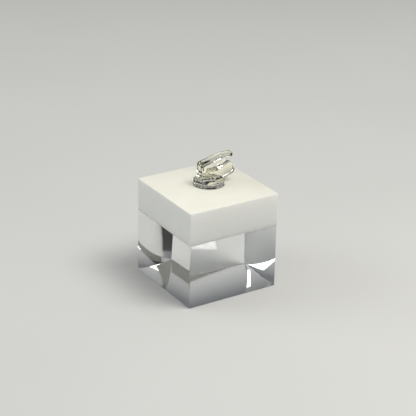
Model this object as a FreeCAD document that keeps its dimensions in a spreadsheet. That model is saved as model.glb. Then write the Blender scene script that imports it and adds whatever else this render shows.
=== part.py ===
import FreeCAD, Part
import os
import Sketcher

# Acrylic display cube: a clear block with an opal slab bonded on top of it, and a small clear
# ring clip standing loose on the slab. Origin at the middle of the cube's underside, +Z up.
# The front edge of the cube points along -X -Y.

doc = FreeCAD.newDocument("display_cube")
sheet = doc.addObject("Spreadsheet::Sheet", "size")

DIMENSIONS = [
    # cube
    ("cube_width", 25.4),
    ("cube_depth", 25.4),
    ("clear_height", 16.9),
    ("bond_thickness", 0.1),
    ("opal_height", 8.4),
    ("edge_break", 0.12),
    # where the clip's foot stands on the cube, from the middle of the top
    ("clip_x", 1.1),
    ("clip_y", 1.1),
    # clip, in heights above the cube's top and lengths from the foot's middle
    ("foot_radius", 4.0),
    ("foot_height", 1.2),
    ("foot_round", 0.3),
    ("jaw_width", 2.4),
    ("jaw_back", 2.9),
    ("jaw_height", 3.6),
    ("nose_reach", 5.2),
    ("nose_height", 3.4),
    ("nose_radius", 1.7),
    ("spine_length", 1.3),
    ("throat", 1.5),
    ("flap_thickness", 0.8),
    ("flap_slope_length", 6.0),
    ("flap_rise", 1.5),
    ("flap_tip_length", 3.3),
    ("flap_corner", 0.8),
]
for row, (alias, value) in enumerate(DIMENSIONS, start=1):
    cell = "B%d" % row
    sheet.set("A%d" % row, alias)
    sheet.set(cell, str(value))
    sheet.setAlias(cell, alias)
doc.recompute()


def value_of(expression):
    """The present value of a sheet expression, for a sketch's first drawing."""
    probe = doc.addObject("App::FeaturePython", "probe")
    probe.addProperty("App::PropertyFloat", "Value")
    probe.setExpression("Value", expression)
    probe.recompute()
    result = probe.Value
    doc.removeObject(probe.Name)
    return result


def origin_plane(body, role):
    """One of a body's own origin planes, found by its role."""
    return [item for item in body.Origin.OriginFeatures if item.Role == role][0]


def new_body(label, place):
    """An empty body whose placement follows the sheet."""
    body = doc.addObject("PartDesign::Body", label)
    body.Label = label
    for axis, expression in place.items():
        body.setExpression("Placement.Base." + axis, expression)
    return body


def new_sketch(body, name, role):
    """A sketch on one of the body's own origin planes."""
    sketch = body.newObject("Sketcher::SketchObject", name)
    sketch.AttachmentSupport = [(origin_plane(body, role), "")]
    sketch.MapMode = "FlatFace"
    return sketch


def draw_outline(sketch, corners):
    """Closed straight outline with both coordinates of each corner driven by the sheet."""
    points = [FreeCAD.Vector(value_of(u), value_of(v), 0) for u, v in corners]
    count = len(points)
    for index in range(count):
        sketch.addGeometry(Part.LineSegment(points[index], points[(index + 1) % count]), False)
    for index in range(count):
        sketch.addConstraint(Sketcher.Constraint("Coincident", index, 2, (index + 1) % count, 1))
    for index, (u, v) in enumerate(corners):
        for kind, expression, start in (("DistanceX", u, points[index].x), ("DistanceY", v, points[index].y)):
            place = sketch.addConstraint(Sketcher.Constraint(kind, -1, 1, index, 1, start))
            sketch.setExpression("Constraints[%d]" % place, expression)


def draw_circle(sketch, u, v, radius):
    """Circle with its centre and radius driven by the sheet."""
    centre = FreeCAD.Vector(value_of(u), value_of(v), 0)
    sketch.addGeometry(Part.Circle(centre, FreeCAD.Vector(0, 0, 1), value_of(radius)), False)
    constraints = [
        (Sketcher.Constraint("Radius", 0, value_of(radius)), radius),
        (Sketcher.Constraint("DistanceX", -1, 1, 0, 3, centre.x), u),
        (Sketcher.Constraint("DistanceY", -1, 1, 0, 3, centre.y), v),
    ]
    for constraint, expression in constraints:
        place = sketch.addConstraint(constraint)
        sketch.setExpression("Constraints[%d]" % place, expression)


def pad(body, name, sketch, length, symmetric=False):
    """Pad of a sketch, upwards or to both sides of it."""
    feature = body.newObject("PartDesign::Pad", name)
    feature.Profile = sketch
    feature.setExpression("Length", length)
    if symmetric:
        feature.SideType = "Symmetric"
    sketch.Visibility = False
    doc.recompute()
    return feature


def edges_where(feature, test):
    """Names of a feature's edges that pass a test."""
    return ["Edge%d" % (index + 1) for index, edge in enumerate(feature.Shape.Edges) if test(edge)]


def is_upright(edge):
    """True for a straight edge along Z."""
    if len(edge.Vertexes) != 2:
        return False
    run = edge.Vertexes[1].Point - edge.Vertexes[0].Point
    return abs(run.z) > 1e-6 and abs(run.x) < 1e-6 and abs(run.y) < 1e-6


def layer(label, floor, height):
    """One square layer of the cube, with its upright edges just broken."""
    body = new_body(label, {"z": floor})
    sketch = new_sketch(body, label + "_outline", "XY_Plane")
    half_x = "size.cube_width / 2"
    half_y = "size.cube_depth / 2"
    draw_outline(sketch, [
        ("-" + half_x, "-" + half_y),
        (half_x, "-" + half_y),
        (half_x, half_y),
        ("-" + half_x, half_y),
    ])
    block = pad(body, label + "_block", sketch, height)
    corner = body.newObject("PartDesign::Chamfer", label + "_edges")
    corner.Base = (block, edges_where(block, is_upright))
    corner.setExpression("Size", "size.edge_break")
    return body


CUBE_TOP = "size.clear_height + size.bond_thickness + size.opal_height"
CLIP_PLACE = {"x": "size.clip_x", "y": "size.clip_y", "z": CUBE_TOP}
THROAT_TOP = "size.jaw_height + size.throat"
FLAP_SLOPE = "size.flap_rise / size.flap_slope_length"

# --- the bonded cube -------------------------------------------------------------------------
bodies = [
    layer("clear_block", "0 * size.clear_height", "size.clear_height"),
    layer("bond_film", "size.clear_height", "size.bond_thickness"),
    layer("opal_slab", "size.clear_height + size.bond_thickness", "size.opal_height"),
]

# --- clip foot: a round disc with a softened rim ----------------------------------------------
foot = new_body("clip_foot", CLIP_PLACE)
foot_sketch = new_sketch(foot, "foot_outline", "XY_Plane")
draw_circle(foot_sketch, "0 * size.foot_radius", "0 * size.foot_radius", "size.foot_radius")
foot_disc = pad(foot, "foot_disc", foot_sketch, "size.foot_height")
top_rim = edges_where(foot_disc, lambda edge: edge.BoundBox.ZMin > value_of("size.foot_height") - 1e-6)
foot_rim = foot.newObject("PartDesign::Fillet", "foot_rim")
foot_rim.Base = (foot_disc, top_rim)
foot_rim.setExpression("Radius", "size.foot_round")
bodies.append(foot)

# --- clip jaw: the lower jaw, ending in a round nose -------------------------------------------
jaw = new_body("clip_jaw", CLIP_PLACE)
jaw_sketch = new_sketch(jaw, "jaw_outline", "XZ_Plane")
draw_outline(jaw_sketch, [
    ("-size.jaw_back", "size.foot_height"),
    ("size.nose_reach - size.nose_radius", "size.foot_height"),
    ("size.nose_reach", "size.nose_height - size.nose_radius"),
    ("size.nose_reach", "size.nose_height + size.nose_radius"),
    ("size.nose_reach - 2 * size.nose_radius", "size.jaw_height"),
    ("-size.jaw_back", "size.jaw_height"),
])
pad(jaw, "jaw_bar", jaw_sketch, "size.jaw_width", symmetric=True)
nose_sketch = new_sketch(jaw, "nose_outline", "XZ_Plane")
draw_circle(nose_sketch, "size.nose_reach", "size.nose_height", "size.nose_radius")
pad(jaw, "jaw_nose", nose_sketch, "size.jaw_width", symmetric=True)
bodies.append(jaw)

# --- clip spine: joins the lower jaw to the flap, its top cut to the flap's slope --------------
spine = new_body("clip_spine", CLIP_PLACE)
spine_sketch = new_sketch(spine, "spine_outline", "XZ_Plane")
draw_outline(spine_sketch, [
    ("-size.jaw_back", "size.jaw_height"),
    ("size.spine_length - size.jaw_back", "size.jaw_height"),
    ("size.spine_length - size.jaw_back", THROAT_TOP + " + size.spine_length * " + FLAP_SLOPE),
    ("-size.jaw_back", THROAT_TOP),
])
pad(spine, "spine_wall", spine_sketch, "size.jaw_width", symmetric=True)
bodies.append(spine)

# --- clip flap: the thin springy upper jaw, level near its tip ----------------------------------
flap = new_body("clip_flap", CLIP_PLACE)
flap_sketch = new_sketch(flap, "flap_outline", "XZ_Plane")
flap_knee = "size.flap_slope_length - size.jaw_back"
flap_knee_height = THROAT_TOP + " + size.flap_rise"
flap_tip = flap_knee + " + size.flap_tip_length"
draw_outline(flap_sketch, [
    ("-size.jaw_back", THROAT_TOP),
    (flap_knee, flap_knee_height),
    (flap_tip, flap_knee_height),
    (flap_tip, flap_knee_height + " + size.flap_thickness"),
    (flap_knee, flap_knee_height + " + size.flap_thickness"),
    ("-size.jaw_back", THROAT_TOP + " + size.flap_thickness"),
])
flap_blade = pad(flap, "flap_blade", flap_sketch, "size.jaw_width", symmetric=True)
tip_x = value_of(flap_tip)
tip_edges = edges_where(flap_blade, lambda edge: is_upright(edge) and edge.BoundBox.XMin > tip_x - 1e-6)
flap_corners = flap.newObject("PartDesign::Fillet", "flap_corners")
flap_corners.Base = (flap_blade, tip_edges)
flap_corners.setExpression("Radius", "size.flap_corner")
bodies.append(flap)

doc.recompute()

# --- checks and export --------------------------------------------------------------------------
for item in doc.Objects:
    if "Invalid" in item.State or "Error" in item.State:
        raise RuntimeError("%s failed: %s" % (item.Label, item.State))
for body in bodies:
    if body.Shape.isNull() or not body.Shape.isValid():
        raise RuntimeError("%s has no valid shape" % body.Label)

os.makedirs("parts", exist_ok=True)
for body in bodies:
    body.Shape.exportStep("parts/%s.step" % body.Label)
    box = body.Shape.BoundBox
    print("%-12s %8.2f mm3  x %.2f..%.2f  y %.2f..%.2f  z %.2f..%.2f" % (
        body.Label, body.Shape.Volume, box.XMin, box.XMax, box.YMin, box.YMax, box.ZMin, box.ZMax))
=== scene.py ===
import math

import bpy
from mathutils import Matrix, Vector


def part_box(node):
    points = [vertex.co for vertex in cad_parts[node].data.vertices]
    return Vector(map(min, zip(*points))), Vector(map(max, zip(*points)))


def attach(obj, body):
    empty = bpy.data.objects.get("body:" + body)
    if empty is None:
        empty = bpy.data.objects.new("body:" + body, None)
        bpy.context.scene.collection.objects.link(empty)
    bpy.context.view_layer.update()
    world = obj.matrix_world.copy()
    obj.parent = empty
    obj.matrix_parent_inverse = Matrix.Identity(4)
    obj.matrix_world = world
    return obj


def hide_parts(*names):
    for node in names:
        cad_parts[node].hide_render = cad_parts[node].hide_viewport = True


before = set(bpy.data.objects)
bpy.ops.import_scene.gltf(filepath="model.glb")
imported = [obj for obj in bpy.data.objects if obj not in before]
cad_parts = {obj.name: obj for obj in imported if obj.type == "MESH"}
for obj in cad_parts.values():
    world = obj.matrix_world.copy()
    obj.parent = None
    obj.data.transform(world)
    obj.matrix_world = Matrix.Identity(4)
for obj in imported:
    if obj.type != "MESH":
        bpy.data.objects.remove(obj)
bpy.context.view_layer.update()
print("loaded the frame")


# shared steps

meshWork = {
    "mergeDistance": 1e-7,
    "flatAngle": 0.5,      # degrees; triangles flatter than this become one face
    "bevelAngle": 30,
    "smoothAngle": 35,
}


def deselectAll():
    bpy.ops.object.select_all(action="DESELECT")


def makeActive(piece):
    deselectAll()
    piece.select_set(True)
    bpy.context.view_layer.objects.active = piece


def applyModifiers(piece):
    makeActive(piece)
    for modifier in list(piece.modifiers):
        bpy.ops.object.modifier_apply(modifier=modifier.name)


def mergedCopy(node, name):
    # a loose copy of a frame node with its triangles joined up
    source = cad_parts[node]
    piece = bpy.data.objects.new(name, source.data.copy())
    bpy.context.scene.collection.objects.link(piece)
    makeActive(piece)
    bpy.ops.object.mode_set(mode="EDIT")
    bpy.ops.mesh.select_all(action="SELECT")
    bpy.ops.mesh.remove_doubles(threshold=meshWork["mergeDistance"])
    bpy.ops.mesh.dissolve_limited(angle_limit=math.radians(meshWork["flatAngle"]))
    bpy.ops.object.mode_set(mode="OBJECT")
    return piece


def softenEdges(piece, width, segments=3):
    bevel = piece.modifiers.new("edges", "BEVEL")
    bevel.width = width
    bevel.segments = segments
    bevel.limit_method = "ANGLE"
    bevel.angle_limit = math.radians(meshWork["bevelAngle"])
    applyModifiers(piece)
    makeActive(piece)
    bpy.ops.object.shade_smooth_by_angle(angle=math.radians(meshWork["smoothAngle"]))


def finishPiece(piece, body, slotName, material, *nodes):
    piece.data.materials.clear()
    piece.data.materials.append(material)
    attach(piece, body)
    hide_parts(*nodes)


# materials

acrylicFinish = {
    "cloudScale": 260.0,
    "cloudDark": 0.96,          # the darker patches, as a share of the tint
    "hairlineScale": 500.0,
    "hairlineStretch": (1, 1, 9),
    "hairlineDepth": 0.00002,
}
opalFinish = {
    # partly the slab's own milky white, partly painted light: the sides carry a painted cool light, the top
    # a painted warm light
    "paintedCoolSideDark": (0.82, 0.825, 0.80),
    "paintedCoolSideLight": (0.86, 0.865, 0.84),
    "paintedWarmTopDark": (0.81, 0.80, 0.70),
    "paintedWarmTopLight": (0.84, 0.83, 0.74),
    "cloudScale": 120.0,
    "hairlineScale": 700.0,
    "hairlineStretch": (9, 1, 1),
    "hairlineStrength": 0.06,
    "hairlineDepth": 0.00002,
}


def startMaterial(name):
    material = bpy.data.materials.new(name)
    material.use_nodes = True
    nodes = material.node_tree.nodes
    return material, nodes, material.node_tree.links, nodes["Principled BSDF"]


def addNoise(nodes, links, scale, detail=4.0, stretch=(1, 1, 1)):
    coordinates = nodes.new("ShaderNodeTexCoord")
    mapping = nodes.new("ShaderNodeMapping")
    mapping.inputs["Scale"].default_value = stretch
    noise = nodes.new("ShaderNodeTexNoise")
    noise.inputs["Scale"].default_value = scale
    noise.inputs["Detail"].default_value = detail
    links.new(coordinates.outputs["Object"], mapping.inputs["Vector"])
    links.new(mapping.outputs["Vector"], noise.inputs["Vector"])
    return noise


def addRamp(nodes, links, source, stops):
    ramp = nodes.new("ShaderNodeValToRGB")
    while len(ramp.color_ramp.elements) < len(stops):
        ramp.color_ramp.elements.new(0.5)
    for element, (position, colour) in zip(ramp.color_ramp.elements, stops):
        element.position = position
        element.color = (*colour, 1)
    links.new(source, ramp.inputs["Fac"])
    return ramp


def addRange(nodes, links, source, low, high, fromLow=0.3, fromHigh=0.7):
    spread = nodes.new("ShaderNodeMapRange")
    spread.inputs["From Min"].default_value = fromLow
    spread.inputs["From Max"].default_value = fromHigh
    spread.inputs["To Min"].default_value = low
    spread.inputs["To Max"].default_value = high
    links.new(source, spread.inputs["Value"])
    return spread


def addBump(nodes, links, shader, source, strength, distance):
    bump = nodes.new("ShaderNodeBump")
    bump.inputs["Strength"].default_value = strength
    bump.inputs["Distance"].default_value = distance
    links.new(source, bump.inputs["Height"])
    links.new(bump.outputs["Normal"], shader.inputs["Normal"])


def clearAcrylic(name, tint, ior, haze, scratch):
    # polished clear plastic: fine hairlines, and a little haze here and there
    material, nodes, links, shader = startMaterial(name)
    shader.inputs["Transmission Weight"].default_value = 1.0
    shader.inputs["IOR"].default_value = ior
    cloud = addNoise(nodes, links, acrylicFinish["cloudScale"])
    low = tuple(acrylicFinish["cloudDark"] * part for part in tint)
    colour = addRamp(nodes, links, cloud.outputs["Fac"], [(0.3, low), (0.7, tint)])
    links.new(colour.outputs["Color"], shader.inputs["Base Color"])
    rough = addRange(nodes, links, cloud.outputs["Fac"], 0.0, haze)
    links.new(rough.outputs["Result"], shader.inputs["Roughness"])
    hairlines = addNoise(
        nodes, links, acrylicFinish["hairlineScale"], 6.0, acrylicFinish["hairlineStretch"])
    addBump(nodes, links, shader, hairlines.outputs["Fac"], scratch, acrylicFinish["hairlineDepth"])
    return material


def opalAcrylic():
    # milky slab with painted light: a painted warm light on the top, a painted cool light down its sides
    material, nodes, links, shader = startMaterial("opalAcrylic")
    geometry = nodes.new("ShaderNodeNewGeometry")
    paintedLightFacing = nodes.new("ShaderNodeSeparateXYZ")
    links.new(geometry.outputs["Normal"], paintedLightFacing.inputs["Vector"])
    cloud = addNoise(nodes, links, opalFinish["cloudScale"])
    paintedCoolSide = addRamp(
        nodes, links, cloud.outputs["Fac"], [(0.3, opalFinish["paintedCoolSideDark"]), (0.7, opalFinish["paintedCoolSideLight"])])
    paintedWarmTop = addRamp(
        nodes, links, cloud.outputs["Fac"], [(0.3, opalFinish["paintedWarmTopDark"]), (0.7, opalFinish["paintedWarmTopLight"])])
    # painted light: faces pointing up get the painted warm top colour, the sides get the painted cool side
    # colour
    paintedLightMix = nodes.new("ShaderNodeMix")
    paintedLightMix.data_type = "RGBA"
    links.new(paintedLightFacing.outputs["Z"], paintedLightMix.inputs["Factor"])
    links.new(paintedCoolSide.outputs["Color"], paintedLightMix.inputs["A"])
    links.new(paintedWarmTop.outputs["Color"], paintedLightMix.inputs["B"])
    links.new(paintedLightMix.outputs["Result"], shader.inputs["Base Color"])
    shader.inputs["IOR"].default_value = 1.49
    shader.inputs["Subsurface Weight"].default_value = 0.5
    shader.inputs["Subsurface Radius"].default_value = (1.0, 0.95, 0.85)
    shader.inputs["Subsurface Scale"].default_value = 0.0015
    rough = addRange(nodes, links, cloud.outputs["Fac"], 0.08, 0.2)
    links.new(rough.outputs["Result"], shader.inputs["Roughness"])
    hairlines = addNoise(nodes, links, opalFinish["hairlineScale"], 6.0, opalFinish["hairlineStretch"])
    addBump(
        nodes, links, shader, hairlines.outputs["Fac"],
        opalFinish["hairlineStrength"], opalFinish["hairlineDepth"])
    return material


def plainMatte(name, dark, light, scale, roughness):
    material, nodes, links, shader = startMaterial(name)
    cloud = addNoise(nodes, links, scale)
    colour = addRamp(nodes, links, cloud.outputs["Fac"], [(0.3, dark), (0.7, light)])
    links.new(colour.outputs["Color"], shader.inputs["Base Color"])
    shader.inputs["Roughness"].default_value = roughness
    return material


blockAcrylic = clearAcrylic("blockAcrylic", (0.97, 0.985, 0.985), 1.49, 0.03, 0.08)
clipPlastic = clearAcrylic("clipPlastic", (0.98, 0.97, 0.88), 1.5, 0.06, 0.2)
milkyAcrylic = opalAcrylic()
cement = plainMatte("cement", (0.78, 0.77, 0.72), (0.84, 0.83, 0.78), 300.0, 0.5)
print("materials made")


# cube

cubeParts = {
    "blockEdge": 0.00012,
    "slabEdge": 0.00015,
    "cementSink": 0.0001,    # how far the cement reaches down into the block
    "cementInset": 0.00003,
}

clearBlock = mergedCopy("clear_block", "clearBlock")
softenEdges(clearBlock, cubeParts["blockEdge"])
finishPiece(clearBlock, "cube", "clear_acrylic", blockAcrylic, "clear_block")

opalSlab = mergedCopy("opal_slab", "opalSlab")
softenEdges(opalSlab, cubeParts["slabEdge"])
finishPiece(opalSlab, "cube", "opal_acrylic", milkyAcrylic, "opal_slab")

# the cement line sits a little inside the sides, and sinks into the block so no air shows
filmLow, filmHigh = (Vector(corner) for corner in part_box("bond_film"))
filmLow.z -= cubeParts["cementSink"]
deselectAll()
bpy.ops.mesh.primitive_cube_add(size=1, location=(filmLow + filmHigh) / 2)
cementLayer = bpy.context.object
cementLayer.name = "cementLayer"
filmSize = filmHigh - filmLow
inset = 2 * cubeParts["cementInset"]
cementLayer.scale = (filmSize.x - inset, filmSize.y - inset, filmSize.z)
bpy.ops.object.transform_apply(location=True, rotation=True, scale=True)
softenEdges(cementLayer, cubeParts["cementInset"], 1)
finishPiece(cementLayer, "cube", "bond", cement, "bond_film")
print("cube made")


# clip

clipParts = {
    "edge": 0.00012,
    "lift": 0.00002,    # hair of air under the foot
}

clipBody = mergedCopy("clip_jaw", "clipBody")
for node in ("clip_foot", "clip_spine"):
    part = mergedCopy(node, node + "_part")
    join = clipBody.modifiers.new("join", "BOOLEAN")
    join.operation = "UNION"
    join.solver = "EXACT"
    join.object = part
    applyModifiers(clipBody)
    bpy.data.objects.remove(part, do_unlink=True)
softenEdges(clipBody, clipParts["edge"], 2)
for vertex in clipBody.data.vertices:
    if vertex.co.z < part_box("clip_foot")[0][2] + 1e-6:
        vertex.co.z += clipParts["lift"]
finishPiece(clipBody, "clip", "clear_moulding", clipPlastic, "clip_foot", "clip_jaw", "clip_spine")

clipFlap = mergedCopy("clip_flap", "clipFlap")
softenEdges(clipFlap, clipParts["edge"], 2)
finishPiece(clipFlap, "flap", "clear_moulding", clipPlastic, "clip_flap")
print("clip made")


# floor, light and camera

studio = {
    "floorSize": 4.0,
    "floorDrop": 0.00005,
    "keyPower": 1.35,
    "fillPower": 0.6,
    "horizon": (0.22, 0.23, 0.245),
    "zenith": (0.95, 0.95, 0.93),
    "skyStrength": 0.62,
    "keyPlace": (0.12, -0.16, 0.42),
    "keySize": 0.22,
    "fillPlace": (-0.35, 0.25, 0.30),
    "fillSize": 0.30,
}
camera = {
    "azimuth": -32.75,
    "elevation": 25.24,
    "roll": 1.31,
    "distance": 0.368,
    "lens": 126.0,
    "tiltUp": 0.94,
    "turnRight": 0.04,
}

deselectAll()
bpy.ops.mesh.primitive_plane_add(size=studio["floorSize"], location=(0, 0, -studio["floorDrop"]))
floor = bpy.context.object
floor.name = "floor"
floor.data.materials.append(plainMatte("floorPaint", (0.60, 0.60, 0.585), (0.64, 0.64, 0.625), 6.0, 0.7))


def addSoftLight(name, place, size, power, colour):
    lamp = bpy.data.lights.new(name, "AREA")
    lamp.shape = "SQUARE"
    lamp.size = size
    lamp.energy = power
    lamp.color = colour
    holder = bpy.data.objects.new(name, lamp)
    holder.location = place
    holder.rotation_euler = Vector(place).to_track_quat("Z", "Y").to_euler()
    bpy.context.scene.collection.objects.link(holder)


addSoftLight(
    "keyLight", studio["keyPlace"], studio["keySize"], studio["keyPower"], (1.0, 0.98, 0.94))
addSoftLight(
    "fillLight", studio["fillPlace"], studio["fillSize"], studio["fillPower"], (0.93, 0.97, 1.0))

world = bpy.data.worlds.new("studioWorld")
bpy.context.scene.world = world
world.use_nodes = True
worldNodes = world.node_tree.nodes
worldLinks = world.node_tree.links
skyDirection = worldNodes.new("ShaderNodeTexCoord")
skyParts = worldNodes.new("ShaderNodeSeparateXYZ")
worldLinks.new(skyDirection.outputs["Generated"], skyParts.inputs["Vector"])
skyRamp = addRamp(
    worldNodes, worldLinks, skyParts.outputs["Z"], [(0.1, studio["horizon"]), (0.9, studio["zenith"])])
worldLinks.new(skyRamp.outputs["Color"], worldNodes["Background"].inputs["Color"])
worldNodes["Background"].inputs["Strength"].default_value = studio["skyStrength"]

cubeMiddle = Vector((0, 0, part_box("opal_slab")[1][2] / 2))
azimuth = math.radians(camera["azimuth"])
elevation = math.radians(camera["elevation"])
back = Vector((
    math.sin(azimuth) * math.cos(elevation),
    -math.cos(azimuth) * math.cos(elevation),
    math.sin(elevation),
))
lensData = bpy.data.cameras.new("studioCamera")
lensData.lens = camera["lens"]
lensData.sensor_width = 36.0
lensData.clip_start = 0.01
studioCamera = bpy.data.objects.new("studioCamera", lensData)
aim = back.to_track_quat("Z", "Y").to_matrix().to_4x4()
studioCamera.matrix_world = (
    Matrix.Translation(cubeMiddle + back * camera["distance"])
    @ aim
    @ Matrix.Rotation(math.radians(camera["tiltUp"]), 4, "X")
    @ Matrix.Rotation(math.radians(-camera["turnRight"]), 4, "Y")
    @ Matrix.Rotation(math.radians(camera["roll"]), 4, "Z")
)
bpy.context.scene.collection.objects.link(studioCamera)
bpy.context.scene.camera = studioCamera
bpy.context.scene.cycles.max_bounces = 24
bpy.context.scene.cycles.transmission_bounces = 24
bpy.context.scene.view_settings.view_transform = "Standard"
print("studio made")
